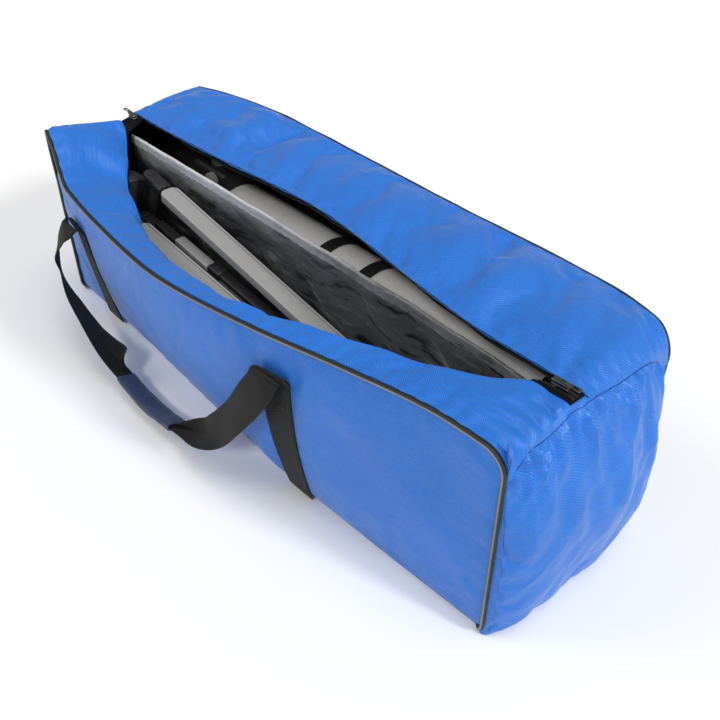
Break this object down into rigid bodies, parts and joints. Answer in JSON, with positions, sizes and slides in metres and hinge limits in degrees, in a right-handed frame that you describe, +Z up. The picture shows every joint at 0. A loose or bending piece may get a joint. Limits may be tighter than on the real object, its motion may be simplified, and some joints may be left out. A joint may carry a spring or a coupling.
{
  "type": "telescope carry bag with telescope and tripod",
  "caption": "Long padded cloth bag with webbing hand loops and a zipped top, lying open, packed with a telescope tube beside a folded tripod.",
  "frame": {"origin": "on the underside of the bag's floor, midway between the ends and on the divider's plane", "axes": "+X along the bag to its right end, -Y to the front with the wrapped grip, +Z up through the zipped top"},
  "size_m": [1.088, 0.4925, 0.329],
  "materials": {
    "blue_cloth": "woven nylon, quilted over thin foam",
    "zip_tape": "woven tape with a coil zip",
    "zip_metal": "die-cast, worn",
    "piping": "smooth covered cord",
    "grey_lining": "thin crumpled lining over foam",
    "pale_binding": "folded binding tape",
    "webbing": "flat woven webbing",
    "grip_cloth": "wrapped cloth sleeve",
    "tube_paint": "satin grey",
    "black_plastic": "moulded, satin black",
    "drawtube_metal": "bright turned",
    "knob_grey": "satin grey",
    "leg_grey": "satin grey",
    "shank_metal": "anodised",
    "foot_rubber": "moulded"
  },
  "bodies": {
    "bag": {"floor_panel": "blue_cloth", "front_panel": "blue_cloth", "back_panel": "blue_cloth", "left_end_panel": "blue_cloth", "right_end_panel": "blue_cloth", "front_flap": "blue_cloth", "rear_flap_left": "blue_cloth", "rear_flap_right": "blue_cloth", "front_zip_tape": "zip_tape", "rear_zip_tape_left": "zip_tape", "rear_zip_tape_right": "zip_tape", "left_slider": "zip_metal", "right_slider": "zip_metal", "left_zip_end": "blue_cloth", "right_zip_end": "blue_cloth", "front_piping": "piping", "back_piping": "piping", "divider": "grey_lining", "divider_binding": "pale_binding", "front_strap_left": "webbing", "front_strap_right": "webbing", "back_strap_left": "webbing", "back_strap_right": "webbing", "under_strap_left": "webbing", "under_strap_right": "webbing"},
    "rear_flap": {"rear_flap_middle": "blue_cloth", "rear_zip_tape_middle": "zip_tape"},
    "front_handle": {"front_handle_loop": "webbing", "grip_wrap": "grip_cloth"},
    "back_handle": {"back_handle_loop": "webbing"},
    "left_tab": {"left_pull_tab": "zip_metal"},
    "right_tab": {"right_pull_tab": "zip_metal"},
    "telescope": {"telescope_tube": "tube_paint", "tube_front_ring": "black_plastic", "tube_dust_cover": "black_plastic", "tube_rear_cell": "black_plastic", "tube_clamp_1": "black_plastic", "tube_clamp_2": "black_plastic", "dovetail_bar": "black_plastic", "focuser_base": "black_plastic"},
    "drawtube": {"drawtube": "drawtube_metal", "eyepiece_cap": "black_plastic"},
    "knobs": {"focus_knobs": "knob_grey"},
    "tripod": {"tripod_hub": "black_plastic", "leg_1": "leg_grey", "leg_2": "leg_grey", "leg_3": "leg_grey", "leg_hinge_1": "black_plastic", "leg_hinge_2": "black_plastic", "leg_hinge_3": "black_plastic", "leg_shank_1": "shank_metal", "leg_shank_2": "shank_metal", "leg_shank_3": "shank_metal", "leg_foot_1": "foot_rubber", "leg_foot_2": "foot_rubber", "leg_foot_3": "foot_rubber", "spreader_bar": "black_plastic", "spreader_plate": "leg_grey", "mount_head": "black_plastic"}
  },
  "joints": [
    {"name": "rear_flap_fold", "type": "hinge", "parent": "bag", "child": "rear_flap", "pos_m": [0, 0.1823, 0.3145], "axis": [-0.9999, 0.0147, 0], "range_deg": [0, 110]},
    {"name": "front_handle_swing", "type": "hinge", "parent": "bag", "child": "front_handle", "pos_m": [0.172, -0.2047, 0.2445], "axis": [-0.9977, 0.026, -0.0624], "range_deg": [0, 120]},
    {"name": "back_handle_swing", "type": "hinge", "parent": "bag", "child": "back_handle", "pos_m": [-0.372, 0.188, 0.2105], "axis": [0.9979, 0.0149, 0.0624], "range_deg": [0, 120]},
    {"name": "left_tab_flip", "type": "hinge", "parent": "bag", "child": "left_tab", "pos_m": [-0.474, 0.00007, 0.31135], "axis": [0, 1, 0], "range_deg": [0, 170]},
    {"name": "right_tab_flip", "type": "hinge", "parent": "bag", "child": "right_tab", "pos_m": [0.474, -0.03241, 0.32824], "axis": [0, -1, 0], "range_deg": [0, 170]},
    {"name": "telescope_lift", "type": "slide", "parent": "bag", "child": "telescope", "axis": [0, 0, 1], "range_m": [0, 0.36], "deforming": ["rear_flap_left", "rear_flap_middle", "rear_flap_right", "rear_zip_tape_left", "rear_zip_tape_middle", "rear_zip_tape_right"]},
    {"name": "tripod_lift", "type": "slide", "parent": "bag", "child": "tripod", "axis": [0, 0, 1], "range_m": [0, 0.36], "deforming": ["front_flap", "front_zip_tape"]},
    {"name": "focus_knob_turn", "type": "hinge", "parent": "telescope", "child": "knobs", "pos_m": [-0.3077, 0.0795, 0.234], "axis": [0, 1, 0], "range_deg": [0, 420]},
    {"name": "focuser_draw", "type": "slide", "parent": "telescope", "child": "drawtube", "axis": [0, 0, 1], "range_m": [0, 0.0285]}
  ],
  "couplings": [
    {"joint": "focus_knob_turn", "follows": "focuser_draw", "rad_per_m": 250}
  ]
}
